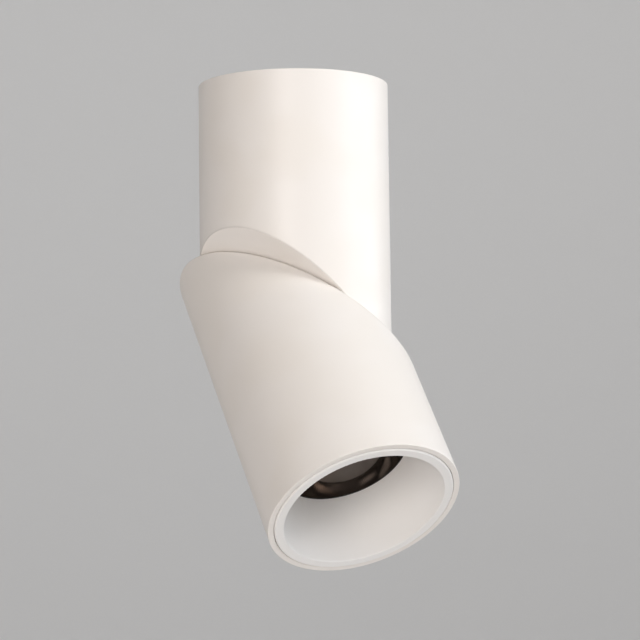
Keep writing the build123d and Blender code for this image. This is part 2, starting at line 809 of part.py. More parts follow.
with BuildPart() as baffle:
    with BuildSketch(head_section):
        with BuildLine():
            Polyline(
                (baffle_end_radius, baffle_end),
                (lip_bore_radius, lip_front),
                (lip_radius - lip_bevel, lip_front),
                (lip_radius, lip_front - lip_bevel),
                (lip_radius, spigot_end),
                (lip_radius - spigot_wall, spigot_end),
                (lip_radius - spigot_wall, spigot_top),
                (cone_back_radius, spigot_top),
                (baffle_end_radius + baffle_wall, baffle_end),
                close=True,
            )
        make_face()
        with Locations((o_ring_seat + o_ring_section, o_ring_level)):
            Rectangle(2 * o_ring_section, o_ring_section + seat_gap, mode=Mode.SUBTRACT)
    revolve(axis=head_axis)
    lip_edge = baffle.edges().filter_by(GeomType.CIRCLE).group_by(head_axis)[-1].sort_by(SortBy.RADIUS)[0]
    fillet(lip_edge, edge_round)
baffle.part.label = "baffle"
export_step(baffle.part, "parts/baffle.step")

with BuildPart() as baffle_o_ring:
    with BuildSketch(head_section):
        with Locations((o_ring_seat + o_ring_section / 2, o_ring_level)):
            Circle(o_ring_section / 2)
    revolve(axis=head_axis)
baffle_o_ring.part.label = "baffle_o_ring"
export_step(baffle_o_ring.part, "parts/baffle_o_ring.step")
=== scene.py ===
# %% [markdown]
# # A white ceiling spotlight, folded at its bias cut
# The lamp is two aluminium tubes that meet at a cut on the bias, with a dark mirror and an LED down in the
# lower one. Its metalwork comes packed as a frame of separate pieces that never move or change here. This
# script photographs that frame: it sets the camera, lays a finish on every piece, adds the small forms that
# are made more easily as meshes, and lights the lamp like a studio product picture.

import json
from math import cos, pi, radians, sin

import bmesh
import bpy
from mathutils import Euler, Matrix, Vector


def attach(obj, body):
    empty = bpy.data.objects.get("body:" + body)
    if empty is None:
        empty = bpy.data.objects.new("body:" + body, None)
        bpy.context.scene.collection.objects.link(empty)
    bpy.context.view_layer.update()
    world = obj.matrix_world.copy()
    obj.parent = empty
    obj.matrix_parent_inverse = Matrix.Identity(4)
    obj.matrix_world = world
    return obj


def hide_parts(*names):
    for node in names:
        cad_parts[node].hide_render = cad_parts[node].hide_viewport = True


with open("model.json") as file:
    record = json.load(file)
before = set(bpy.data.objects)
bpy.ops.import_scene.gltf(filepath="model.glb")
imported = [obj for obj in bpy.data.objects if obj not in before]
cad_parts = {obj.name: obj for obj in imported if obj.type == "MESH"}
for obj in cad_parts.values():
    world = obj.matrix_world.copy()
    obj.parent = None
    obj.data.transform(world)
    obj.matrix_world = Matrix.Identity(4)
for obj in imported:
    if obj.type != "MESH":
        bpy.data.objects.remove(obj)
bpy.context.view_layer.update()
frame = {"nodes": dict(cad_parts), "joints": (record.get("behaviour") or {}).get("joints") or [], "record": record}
mm = 0.001

# %% [markdown]
# ## The camera
# The photograph is a product shot: the lamp hangs a little above the lens, which looks up at it by six
# degrees. Both tubes keep nearly parallel sides, which is the flat look of a long lens from a distance, so
# the camera stands over a metre away with a 149 mm lens. The picture is also turned by less than a degree,
# as a hand-held one is.

# %% Stand the camera in front
camera_place = Vector((0.0101, -1.1079, -0.2155))
looks_up = 5.953
picture_turn = -0.761
lens = 149.37
sensor = 36.0

camera_data = bpy.data.cameras.new("camera")
camera_data.lens = lens
camera_data.sensor_width = sensor
camera_data.clip_start = 0.01
camera_data.clip_end = 50.0
camera = bpy.data.objects.new("camera", camera_data)
bpy.context.scene.collection.objects.link(camera)
tilt = Euler((radians(90 + looks_up), 0, 0)).to_matrix()
turn = Matrix.Rotation(radians(picture_turn), 3, "Z")
camera.matrix_world = Matrix.Translation(camera_place) @ (tilt @ turn).to_4x4()
bpy.context.scene.camera = camera
print("camera", round(camera_place.length, 3), "m from the ceiling plate's middle")

# %% [markdown]
# ## Where things are
# Many finishes follow the lamp's own lines: lathe marks run round an axis, a band of painted shade darkens
# the coat along the joint, and the mirror's flutes fan out from its middle. The twist joint in the record gives
# the centre and the normal of the cut. The head's own axis is straight down, turned about that normal by the angle
# at which it hangs.

# %% Axes of the tubes and of the joint
twist_joint = next(joint for joint in frame["joints"] if joint["name"] == "twist")
joint_centre = Vector(twist_joint["pos_m"])
twist_axis = Vector(twist_joint["axis"]).normalized()
straight_at = twist_joint["range_deg"][0]
down = Vector((0, 0, -1))
fold_side = Vector((twist_axis.x, twist_axis.y, 0)).normalized()
hang = Matrix.Rotation(radians(-straight_at), 3, twist_axis)
head_axis = hang @ down
head_side = hang @ fold_side
head_cross = head_axis.cross(head_side)
ceiling_centre = Vector((0, 0, 0))
print("the head leans", round(head_axis.angle(down) * 180 / pi, 1), "degrees from straight down")


def reach(node, axis, origin):
    """How far a piece goes along an axis, lowest and highest, in metres."""
    marks = [(v.co - origin).dot(axis) for v in frame["nodes"][node].data.vertices]
    return min(marks), max(marks)


mouth = reach("baffle", head_axis, joint_centre)[1]
throat = reach("reflector", head_axis, joint_centre)[0]
print("mouth", round(mouth / mm, 1), "mm and mirror's throat", round(throat / mm, 1), "mm from the joint")

# %% [markdown]
# ## A small language for shaders
# A procedural finish is a sum: a base tone, plus a little mottling, minus some dust. Node graphs hide that
# sum in wires, so one class here wraps a socket and lets Python's own operators add the Math nodes. A
# second class holds a material, and its one method makes every other kind of node.

# %% A socket that does arithmetic
class Wire:
    """A number in a shader. Each operation on it adds one Math node."""

    def __init__(self, socket):
        self.socket = socket

    def math(self, operation, *others):
        node = self.socket.id_data.nodes.new("ShaderNodeMath")
        node.operation = operation
        for plug, value in zip(node.inputs, (self, *others)):
            join(plug, value)
        return Wire(node.outputs[0])

    def __add__(self, other):
        return self.math("ADD", other)

    def __sub__(self, other):
        return self.math("SUBTRACT", other)

    def __rsub__(self, other):
        return self * -1 + other

    def __mul__(self, other):
        return self.math("MULTIPLY", other)

    def __truediv__(self, other):
        return self.math("DIVIDE", other)

    def __lt__(self, other):
        return self.math("LESS_THAN", other)

    def __abs__(self):
        return self.math("ABSOLUTE")

    __radd__ = __add__
    __rmul__ = __mul__


def join(plug, value):
    """Links a wire to a socket, or sets the socket to a plain value."""
    if isinstance(value, Wire):
        plug.id_data.links.new(value.socket, plug)
    else:
        plug.default_value = value


# %% A material and the nodes that feed it
def tone(red, green, blue):
    """A colour as a screen shows it, 0 to 255, turned into the light values that shaders use."""
    values = [c / 255 for c in (red, green, blue)]
    return (*[v / 12.92 if v <= 0.04045 else ((v + 0.055) / 1.055) ** 2.4 for v in values], 1.0)


class Finish:
    """A procedural material around one Principled shader."""

    def __init__(self, name, **fixed):
        self.material = bpy.data.materials.new(name)
        self.material.use_nodes = True
        self.tree = self.material.node_tree
        self.shader = self.tree.nodes["Principled BSDF"]
        self.place = self.add("ShaderNodeTexCoord", output="Object")
        for socket, value in fixed.items():
            self.shader.inputs[socket.replace("_", " ")].default_value = value

    def add(self, kind, settings=None, inputs=None, output=0):
        """Any node: its type, its settings, then what goes into its sockets."""
        node = self.tree.nodes.new(kind)
        for setting, value in (settings or {}).items():
            setattr(node, setting, value)
        for socket, value in (inputs or {}).items():
            join(node.inputs[socket], value)
        return Wire(node.outputs[output])

    def feed(self, **wires):
        """Links wires to the shader's sockets."""
        for socket, wire in wires.items():
            join(self.shader.inputs[socket.replace("_", " ")], wire)

    def noise(self, grain, detail=2.0, where=None):
        """Soft noise from 0 to 1, its lumps about one grain across."""
        inputs = {"Vector": where or self.place, "Scale": 1 / grain, "Detail": detail}
        return self.add("ShaderNodeTexNoise", None, inputs)

    def cells(self, grain, output="Distance"):
        """A pattern of cells one grain across."""
        return self.add("ShaderNodeTexVoronoi", None, {"Vector": self.place, "Scale": 1 / grain}, output)

    def rise(self, value, start, end):
        """0 below start and 1 above end, with a smooth step between."""
        inputs = {"Value": value, "From Min": start, "From Max": end}
        return self.add("ShaderNodeMapRange", {"interpolation_type": "SMOOTHSTEP"}, inputs)

    def mix(self, amount, first, second):
        """A colour between two colours. The numbers are the Mix node's own factor and colour sockets."""
        return self.add("ShaderNodeMix", {"data_type": "RGBA"}, {0: amount, 6: first, 7: second}, 2)

    def vector(self, operation, first, second, output="Vector"):
        """Vector Math on two vectors."""
        return self.add("ShaderNodeVectorMath", {"operation": operation}, {0: first, 1: second}, output)

    def from_point(self, point):
        """The place on the piece, seen from a point."""
        return self.vector("SUBTRACT", self.place, point)

    def along(self, axis, point):
        """Metres along an axis from a point."""
        return self.vector("DOT_PRODUCT", self.from_point(point), axis, "Value")

    def off(self, axis, point):
        """Metres away from an axis through a point."""
        across = self.vector("CROSS_PRODUCT", self.from_point(point), axis)
        return self.vector("LENGTH", across, (0, 0, 0), "Value")

    def stretched(self, axis, across, point):
        """Coordinates round an axis: distance from it, and distance along it, both across a grain."""
        pair = {"X": self.off(axis, point) / across, "Y": self.along(axis, point) / across}
        return self.add("ShaderNodeCombineXYZ", None, pair)

    def relief(self, height, depth):
        """A bump of a depth in metres."""
        return self.add("ShaderNodeBump", None, {"Height": height, "Distance": depth})


print("shader classes:", Wire.__name__, "and", Finish.__name__)

# %% [markdown]
# ## White powder coat
# Both tubes are turned aluminium, sprayed with powder that melts into a satin skin. Up close such a skin
# has a soft orange peel about a millimetre across, a finer grain on top, and now and then a speck. A clear
# coat would be too glossy, so the satin comes from roughness alone. A thin band of the coat next to the joint
# is painted darker as shade in the seam, and the plastic washer polishes faint rings into the bias faces.

# %% Powder coat
face_depth = 0.3 * mm
# How far from the joint the painted seam shade reaches.
painted_seam_shade_reach = 1.0 * mm
speck_radius = 0.022


def powder_coat(name, light, warm, peel_depth, roughness):
    """A sprayed satin or matte coat."""
    coat = Finish(name, Specular_IOR_Level=0.5)
    peel = coat.noise(1.3 * mm, 3.0)
    grain = coat.noise(0.35 * mm, 1.0)
    cloud = coat.rise(coat.noise(26 * mm, 1.0), 0.35, 0.65)
    speck = coat.cells(5 * mm) < speck_radius
    from_joint = abs(coat.along(twist_axis, joint_centre))
    on_face = from_joint < face_depth
    # Painted shade in the seam: 1 on the coat just off the joint plane, fading out by a millimetre, and 0 on the
    # bias faces.
    painted_seam_shade = (1 - coat.rise(from_joint, face_depth, painted_seam_shade_reach)) * (1 - on_face)
    base = coat.mix(cloud * 0.6, light, warm)
    base = coat.mix(speck * 0.3, base, tone(150, 146, 140))
    # The painted seam shade darkens that band towards a grey brown.
    base = coat.mix(painted_seam_shade * 0.25, base, tone(168, 160, 150))
    rings = coat.noise(1.0, 2.0, coat.stretched(twist_axis, 0.8 * mm, joint_centre))
    rough = roughness + 0.08 * (peel - 0.5) + 0.05 * (cloud - 0.5)
    rough = rough + 0.15 * (0.5 - rings) * on_face
    coat.feed(Base_Color=base, Roughness=rough)
    coat.feed(Normal=coat.relief(peel * 0.7 + grain * 0.3, peel_depth))
    return coat.material


casing_white = powder_coat("casing_white", tone(248, 243, 238), tone(245, 239, 232), 0.012 * mm, 0.42)
baffle_white = powder_coat("baffle_white", tone(250, 248, 246), tone(248, 246, 243), 0.02 * mm, 0.6)
print("coats:", casing_white.name, baffle_white.name)

# %% [markdown]
# ## The dark mirror
# The reflector is a spun bowl with a black chrome skin: a metal whose own tone is a dark warm grey, so it
# shows the room darkly and sharply. Spinning leaves very faint rings, and handling leaves a breath of haze
# that dulls the gloss here and there. The bowl's real flutes are made as geometry further down.

# %% Black chrome
def dark_chrome(name):
    """A smooth dark mirror with faint spinning rings."""
    chrome = Finish(name, Metallic=1.0)
    rings = chrome.noise(1.0, 2.0, chrome.stretched(head_axis, 0.5 * mm, joint_centre))
    haze = chrome.noise(6 * mm, 3.0)
    chrome.feed(Base_Color=chrome.mix(haze, tone(112, 104, 99), tone(126, 118, 112)))
    chrome.feed(Roughness=0.03 + 0.03 * haze + 0.02 * rings)
    chrome.feed(Normal=chrome.relief(rings, 0.002 * mm))
    return chrome.material


dark_mirror = dark_chrome("dark_mirror")
print("mirror:", dark_mirror.name)

# %% [markdown]
# ## Bare metals
# The fixings inside are the usual mix: zinc plated pressings with a faint spangle, turned steel with lathe
# marks round its axis, dark oiled springs, a cast turntable and a milled heat sink. Lathe marks are noise
# that is looked up by distance from the axis and along it, and by nothing else, so it comes out as rings.

# %% Turned, pressed, sprung, cast and milled metal
def turned_steel(name, axis, point):
    """Bright steel with lathe marks round an axis."""
    steel = Finish(name, Metallic=1.0)
    marks = steel.noise(1.0, 3.0, steel.stretched(axis, 0.12 * mm, point))
    stain = steel.rise(steel.noise(3 * mm, 3.0), 0.45, 0.75)
    steel.feed(Base_Color=steel.mix(stain * 0.5, tone(205, 204, 203), tone(176, 172, 166)))
    steel.feed(Roughness=0.22 + 0.16 * marks + 0.12 * stain)
    steel.feed(Normal=steel.relief(marks, 0.01 * mm))
    return steel.material


def zinc_plate(name):
    """Pressed sheet with a bluish zinc plating."""
    zinc = Finish(name, Metallic=1.0)
    spangle = zinc.add("ShaderNodeSeparateColor", None, {"Color": zinc.cells(2.4 * mm, output="Color")})
    rub = zinc.noise(0.4 * mm, 3.0)
    zinc.feed(Base_Color=zinc.mix(spangle * 0.7, tone(203, 207, 211), tone(183, 188, 196)))
    zinc.feed(Roughness=0.28 + 0.10 * spangle + 0.10 * rub)
    zinc.feed(Normal=zinc.relief(rub, 0.006 * mm))
    return zinc.material


def spring_steel_tint(name, axis, point):
    """Hardened strip, darkened by heat and oil."""
    strip = Finish(name, Metallic=1.0)
    heat = strip.noise(1.0, 1.0, strip.stretched(axis, 1.6 * mm, point))
    oil = strip.noise(2.2 * mm, 2.0)
    strip.feed(Base_Color=strip.mix(strip.rise(heat, 0.3, 0.7), tone(112, 104, 98), tone(92, 96, 106)))
    strip.feed(Roughness=0.25 + 0.2 * oil)
    strip.feed(Normal=strip.relief(oil, 0.004 * mm))
    return strip.material


def cast_metal(name):
    """Die cast aluminium with a fine skin."""
    cast = Finish(name, Metallic=1.0)
    skin = cast.noise(0.5 * mm, 4.0)
    flow = cast.rise(cast.noise(9 * mm, 2.0), 0.3, 0.7)
    cast.feed(Base_Color=cast.mix(flow, tone(203, 204, 205), tone(188, 189, 191)))
    cast.feed(Roughness=0.42 + 0.18 * skin)
    cast.feed(Normal=cast.relief(skin, 0.02 * mm))
    return cast.material


def milled_metal(name, axis):
    """Milled aluminium with lines along an axis."""
    sink = Finish(name, Metallic=1.0)
    squeeze = sink.vector("MULTIPLY", sink.along(axis, joint_centre), axis)
    lines = sink.noise(0.25 * mm, 2.0, sink.vector("SUBTRACT", sink.from_point(joint_centre), squeeze))
    film = sink.noise(5 * mm, 2.0)
    sink.feed(Base_Color=sink.mix(film, tone(206, 207, 209), tone(192, 193, 196)))
    sink.feed(Roughness=0.28 + 0.2 * lines)
    sink.feed(Normal=sink.relief(lines, 0.012 * mm))
    return sink.material


swivel_steel = turned_steel("turned_steel_swivel", down, ceiling_centre)
joint_steel = turned_steel("turned_steel_joint", twist_axis, joint_centre)
zinc = zinc_plate("zinc_steel")
swivel_strip = spring_steel_tint("spring_steel_swivel", down, ceiling_centre)
joint_strip = spring_steel_tint("spring_steel_joint", twist_axis, joint_centre)
cast = cast_metal("cast_aluminium")
sink = milled_metal("sink_aluminium", head_side)
metals = (swivel_steel, joint_steel, zinc, swivel_strip, joint_strip, cast, sink)
print("metals:", ", ".join(metal.name for metal in metals))

# %% [markdown]
# ## Plastics, rubber and the white set screws
# The driver, the terminals and the LED holder are moulded, with the fine spark-eroded grain that hides flow
# marks. Washers are natural nylon, a little milky. The O-ring and the pad are dull rubber, the ring at the
# mirror's rim is black, and the leads have a smooth white sheath that shows faint ripples along its run.

# %% Moulded and sheathed pieces
def moulded(name, light, dark, grain, depth, roughness):
    """Moulded plastic or rubber with a grain, its size and depth in millimetres."""
    plastic = Finish(name)
    skin = plastic.noise(grain * mm, 3.0)
    cloud = plastic.noise(8 * mm, 2.0)
    scuff = plastic.rise(plastic.noise(2.5 * mm, 4.0), 0.62, 0.8)
    plastic.feed(Base_Color=plastic.mix(cloud, light, dark))
    plastic.feed(Roughness=roughness + 0.1 * (skin - 0.5) + 0.08 * scuff)
    plastic.feed(Normal=plastic.relief(skin, depth * mm))
    return plastic.material


# Name: light tone, dark tone, grain, depth, roughness.
moulded_looks = {
    "nylon": (tone(238, 235, 224), tone(229, 225, 212), 0.3, 0.004, 0.42),
    "driver_plastic": (tone(240, 240, 238), tone(232, 232, 229), 0.35, 0.02, 0.5),
    "terminal_plastic": (tone(236, 233, 222), tone(228, 224, 211), 0.3, 0.01, 0.4),
    "holder_plastic": (tone(241, 241, 238), tone(233, 233, 229), 0.3, 0.015, 0.45),
    "lead_sheath": (tone(238, 238, 235), tone(229, 229, 225), 2.5, 0.05, 0.3),
    "ring_black": (tone(30, 29, 29), tone(22, 21, 21), 0.25, 0.008, 0.45),
    "o_ring_rubber": (tone(42, 42, 43), tone(30, 30, 31), 0.5, 0.015, 0.6),
    "lacquered_screw": (tone(236, 233, 228), tone(222, 218, 212), 0.4, 0.015, 0.4),
    "silicone": (tone(240, 240, 237), tone(233, 233, 229), 0.4, 0.006, 0.4),
}
moulded_finish = {name: moulded(name, *look) for name, look in moulded_looks.items()}
print("mouldings:", ", ".join(moulded_finish))

# %% [markdown]
# ## The light source
# The LED is a white board with a round yellow patch of phosphor gel, under which the chips show as a faint
# grid. It is switched off in the photograph. The grid follows the head's own two cross axes, and so does
# the glass weave in the grey pad beneath the board.

# %% Phosphor, board and pad
def grid_mask(finish, pitch, line):
    """1 on square chips of a grid along the head's cross axes, and 0 on the lines between."""
    inside = 1.0
    for axis in (head_side, head_cross):
        step = (finish.along(axis, joint_centre) / pitch).math("FRACT") - 0.5
        inside = inside * (1 - finish.rise(abs(step), 0.5 - line, 0.5 - line / 2))
    return inside


def phosphor_gel(name):
    """Yellow gel over a grid of chips."""
    gel = Finish(name, Subsurface_Weight=0.15, Subsurface_Radius=(0.0012, 0.0008, 0.0003), Coat_Weight=0.3)
    chips = grid_mask(gel, pitch=1.3 * mm, line=0.3)
    settle = gel.noise(1.2 * mm, 2.0)
    base = gel.mix(chips * 0.5, tone(240, 199, 84), tone(226, 172, 50))
    gel.feed(Base_Color=gel.mix(settle * 0.4, base, tone(246, 212, 110)))
    gel.feed(Roughness=0.28 + 0.1 * settle)
    gel.feed(Normal=gel.relief(settle + chips * 0.4, 0.02 * mm))
    return gel.material


def solder_mask_board(name):
    """White mask on aluminium, with tinned pads at two corners."""
    pad_corner = 14 * mm
    pad_size = 2.6 * mm
    board = Finish(name)
    across = board.along(head_side, joint_centre)
    up = board.along(head_cross, joint_centre)
    from_pad = abs(abs(across + up) - pad_corner) + abs(across - up)
    pad = from_pad < pad_size
    grain = board.noise(0.4 * mm, 2.0)
    board.feed(Base_Color=board.mix(pad, tone(240, 241, 239), tone(198, 198, 196)))
    board.feed(Metallic=pad, Roughness=0.35 + 0.12 * grain)
    board.feed(Normal=board.relief(grain + pad * 2.0, 0.01 * mm))
    return board.material


def woven_pad(name):
    """Grey silicone on glass cloth."""
    cloth = Finish(name)
    weave = grid_mask(cloth, pitch=0.8 * mm, line=0.4)
    cloth.feed(Base_Color=cloth.mix(weave, tone(120, 123, 128), tone(136, 140, 146)))
    cloth.feed(Roughness=0.6 + 0.1 * weave)
    cloth.feed(Normal=cloth.relief(weave, 0.03 * mm))
    return cloth.material


phosphor = phosphor_gel("phosphor")
led_board = solder_mask_board("led_board")
thermal_grey = woven_pad("thermal_grey")
print("light source:", phosphor.name, led_board.name, thermal_grey.name)

# %% [markdown]
# ## Dress the frame
# The record says which slot each piece takes its finish from, so one lookup dresses nearly all of them. The
# exceptions are the turned pieces and the springs: those at the cut need lathe marks round the joint's own
# slanted axis, not round the ceiling post's.

# %% One finish for every piece
finish_of_slot = {
    **moulded_finish,
    "casing_white": casing_white,
    "baffle_white": baffle_white,
    "zinc_steel": zinc,
    "turned_steel": swivel_steel,
    "spring_steel": swivel_strip,
    "cast_aluminium": cast,
    "sink_aluminium": sink,
    "thermal_grey": thermal_grey,
    "led_board": led_board,
    "phosphor": phosphor,
    "dark_mirror": dark_mirror,
}
about_the_joint = {
    "twist_bolt": joint_steel,
    "twist_nut": joint_steel,
    "twist_stop_pin": joint_steel,
    "twist_spring": joint_strip,
}
subparts = frame["record"]["subparts"]
for part in subparts:
    piece = frame["nodes"][part["node"]]
    finish = about_the_joint.get(part["node"], finish_of_slot[part["material_slot"]])
    if not piece.material_slots:
        piece.data.materials.append(finish)
    for holder in piece.material_slots:
        holder.material = finish
print("dressed", len(subparts), "pieces")

# %% [markdown]
# ## Turned forms
# The next pieces are round: the bowl, the LED's gel and dam, and the screw heads. A lathe turns them, and
# so does this helper. It takes a profile of distances from an axis and heights along it, and turns that
# about the z axis of a place. Each point may be shifted on the way, which is how flutes and recesses come
# into a round form.

# %% A lathe for meshes
def place_at(point, axis, side):
    """A place whose z axis runs along the piece's axis and whose x axis points to a side."""
    across = axis.cross(side).normalized()
    turn = Matrix((across.cross(axis), across, axis)).transposed()
    return Matrix.Translation(point) @ turn.to_4x4()


def lathe(mesh, place, profile, segments, shift=None):
    """Turns (radius, height) points about a place's z axis. shift(angle, radius, height) moves each."""
    rings = []
    for radius, height in profile:
        ring = []
        for step in range(segments):
            angle = 2 * pi * step / segments
            out, up = shift(angle, radius, height) if shift else (radius, height)
            ring.append(mesh.verts.new(place @ Vector((out * cos(angle), out * sin(angle), up))))
        rings.append(ring)
    for low, high in zip(rings, rings[1:]):
        for step in range(segments):
            follow = (step + 1) % segments
            mesh.faces.new((low[step], low[follow], high[follow], high[step]))


def ease(value, start, end):
    """0 below start and 1 above end, smooth between."""
    part = min(max((value - start) / (end - start), 0.0), 1.0)
    return part * part * (3 - 2 * part)


def finished_piece(name, mesh, body, material, crease):
    """Turns mesh data into an object that rides on a body. Edges sharper than the crease stay sharp."""
    bmesh.ops.remove_doubles(mesh, verts=mesh.verts, dist=0.0005 * mm)
    bmesh.ops.recalc_face_normals(mesh, faces=mesh.faces)
    data = bpy.data.meshes.new(name)
    mesh.to_mesh(data)
    mesh.free()
    data.shade_smooth()
    data.set_sharp_from_angle(angle=radians(crease))
    data.materials.append(material)
    piece = bpy.data.objects.new(name, data)
    bpy.context.scene.collection.objects.link(piece)
    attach(piece, body)
    return piece


print("lathe ready")

# %% [markdown]
# ## The bowl and its flutes
# The mirror is a spun bowl. In the photograph its outer third is dark and its depth is taupe, with a sharp
# line between. A mirror that dark has met the light twice, so the wall there stands nearly upright and
# shows the opposite wall, while the shallower depth shows the white baffle at once. The frame's bowl is a
# plain parabola in the same place. This one bulges more, with the frame's throat, rim and flange. Its
# outermost millimetre and a half is pressed with fine flutes, which scatter what the rim reflects: each
# point there is pushed out into the wall by a cosine of its angle.

# %% Turn the fluted bowl
bowl_mouth = 26.8 * mm
bowl_throat = 9.0 * mm
bowl_flange = 28.9 * mm
bowl_wall = 0.6 * mm
bowl_bulge = (24.5 * mm, 6.5 * mm)
flange_thickness = 1.0 * mm
bowl_flutes = 200
flute_depth = 0.03 * mm
flutes_from = 25.2 * mm
flutes_full = 26.2 * mm
round_points = 4 * bowl_flutes
mirror_rows = 40
back_rows = 12
bowl_end = reach("reflector", head_axis, joint_centre)[1]


def bowl_curve(wall, rows):
    """The bowl's section from throat to rim: a curve pulled towards the bulge, a wall's width outside."""
    start = Vector((bowl_throat + wall, throat))
    corner = Vector((bowl_bulge[0] + wall, throat + bowl_bulge[1] - wall))
    end = Vector((bowl_mouth + wall, bowl_end - wall))
    curve = []
    for row in range(rows + 1):
        part = row / rows
        point = start.lerp(corner, part).lerp(corner.lerp(end, part), part)
        curve.append((point.x, point.y))
    return curve


def flute(angle, radius, height):
    """Pushes the mirror outward in waves near its rim."""
    wave = 0.5 - 0.5 * cos(bowl_flutes * angle)
    return radius + flute_depth * wave * ease(radius, flutes_from, flutes_full), height


mirror_side = bowl_curve(0.0, mirror_rows)
back_side = bowl_curve(bowl_wall, back_rows)
under_flange = bowl_end - flange_thickness
back_side[-1] = (bowl_mouth + bowl_wall, under_flange)
flange = [(bowl_flange, bowl_end), (bowl_flange, under_flange), back_side[-1]]

bowl_mesh = bmesh.new()
bowl_place = place_at(joint_centre, head_axis, head_side)
lathe(bowl_mesh, bowl_place, mirror_side, round_points, flute)
lathe(bowl_mesh, bowl_place, mirror_side[-1:] + flange[:1], round_points, flute)
lathe(bowl_mesh, bowl_place, flange, round_points)
lathe(bowl_mesh, bowl_place, back_side, round_points)
lathe(bowl_mesh, bowl_place, [mirror_side[0], back_side[0]], round_points)
bowl = finished_piece("fluted_bowl", bowl_mesh, "head", dark_mirror, crease=50)
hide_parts("reflector")
print("bowl:", len(bowl.data.polygons), "faces,", bowl_flutes, "flutes")

# %% [markdown]
# ## The LED's gel and its dam
# Seen up the bowl, the LED is a yellow puddle of gel held by a low white wall of silicone. The gel is
# poured liquid, so it creeps up the dam at its edge and bulges slightly in the middle. Both are turned.

# %% Pour the gel
puddle_radius = 7.2 * mm
dam_width = 0.8 * mm
gel_fill, gel_swell, gel_creep = 0.62, 0.25, 0.25
gel_rows = 14
dam_side = 0.45
dam_rows = 8
led_points = 96
led_levels = reach("cob_emitter", head_axis, joint_centre)
gel_height = led_levels[1] - led_levels[0]
gel_place = place_at(joint_centre + led_levels[0] * head_axis, head_axis, head_side)

gel_radius = puddle_radius - 0.6 * dam_width
gel_profile = []
for row in range(gel_rows + 1):
    part = row / gel_rows
    level = gel_fill + gel_swell * (1 - part * part) + gel_creep * ease(part, 0.9, 1.0)
    gel_profile.append((part * gel_radius, gel_height * level))
gel_profile += [(gel_radius, 0.0), (0.0, 0.0)]
gel_mesh = bmesh.new()
lathe(gel_mesh, gel_place, gel_profile, led_points)
gel = finished_piece("led_gel", gel_mesh, "head", phosphor, crease=40)
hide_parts("cob_emitter")

dam_inside = puddle_radius - dam_width
dam_middle = puddle_radius - dam_width / 2
dam_profile = [(dam_inside, 0.0)]
for row in range(dam_rows + 1):
    angle = pi * row / dam_rows
    level = dam_side + (1 - dam_side) * sin(angle)
    dam_profile.append((dam_middle - dam_width / 2 * cos(angle), gel_height * level))
dam_profile += [(puddle_radius, 0.0), (dam_inside, 0.0)]
dam_mesh = bmesh.new()
lathe(dam_mesh, gel_place, dam_profile, led_points)
dam = finished_piece("led_dam", dam_mesh, "head", moulded_finish["silicone"], crease=40)
print("gel", len(gel.data.polygons), "faces, dam", len(dam.data.polygons), "faces")

# %% [markdown]
# ## Screws with threads and cross recesses
# The frame's small screws are plain pegs at their nominal size, which is all that a fit needs. Real ones
# have a helical thread, and a crown with a cross recess for the driver. The thread is a strip of roots and
# crests that climbs one pitch a turn. The recess is pressed into the lathed crown: a point sinks where it
# lies inside one of two crossed arms, and less towards their ends. Each screw stands exactly where the
# frame's peg does.

# %% Where the frame's screws stand
def pegs(node, axis):
    """The foot point and the two end levels along an axis of each separate solid, sorted by its place."""
    mesh = bmesh.new()
    mesh.from_mesh(frame["nodes"][node].data)
    bmesh.ops.remove_doubles(mesh, verts=mesh.verts, dist=0.001 * mm)
    left = set(mesh.verts)
    found = []
    while left:
        group = []
        edge_of_group = [left.pop()]
        while edge_of_group:
            vertex = edge_of_group.pop()
            group.append(vertex.co.copy())
            for edge in vertex.link_edges:
                other = edge.other_vert(vertex)
                if other in left:
                    left.remove(other)
                    edge_of_group.append(other)
        low = Vector(min(point[i] for point in group) for i in range(3))
        high = Vector(max(point[i] for point in group) for i in range(3))
        levels = [point.dot(axis) for point in group]
        middle = (low + high) / 2
        foot = middle - middle.dot(axis) * axis
        found.append((foot, min(levels), max(levels)))
    mesh.free()
    return sorted(found, key=lambda peg: tuple(peg[0]))


# %% Make the threaded screws
thread_steps = 24
thread_depth = 0.55
head_points = 96
crown_rows = 22
crown_fall = 0.22
shoulder_rows = 5


def helix(mesh, place, radius, pitch, start, end):
    """A thread between two heights: roots and crests on a climbing line, its depth a share of the pitch."""
    roots = []
    crests = []
    root_radius = radius - thread_depth * pitch
    for step in range(int((end - start) / pitch * thread_steps) + 1):
        angle = 2 * pi * step / thread_steps
        height = start + pitch * step / thread_steps
        turn = Vector((cos(angle), sin(angle), 0))
        roots.append(mesh.verts.new(place @ (root_radius * turn + Vector((0, 0, height)))))
        crest_height = min(height + pitch / 2, end)
        crests.append(mesh.verts.new(place @ (radius * turn + Vector((0, 0, crest_height)))))
    tip = mesh.verts.new(place @ Vector((0, 0, start)))
    for step in range(len(roots) - 1):
        mesh.faces.new((roots[step], crests[step], crests[step + 1], roots[step + 1]))
        above = step + thread_steps
        if above + 1 < len(roots):
            mesh.faces.new((crests[step], roots[above], roots[above + 1], crests[step + 1]))
    for step in range(thread_steps):
        mesh.faces.new((tip, roots[step], roots[step + 1]))
    mesh.faces.new((tip, roots[thread_steps], crests[0]))
    mesh.faces.new((tip, crests[0], roots[0]))


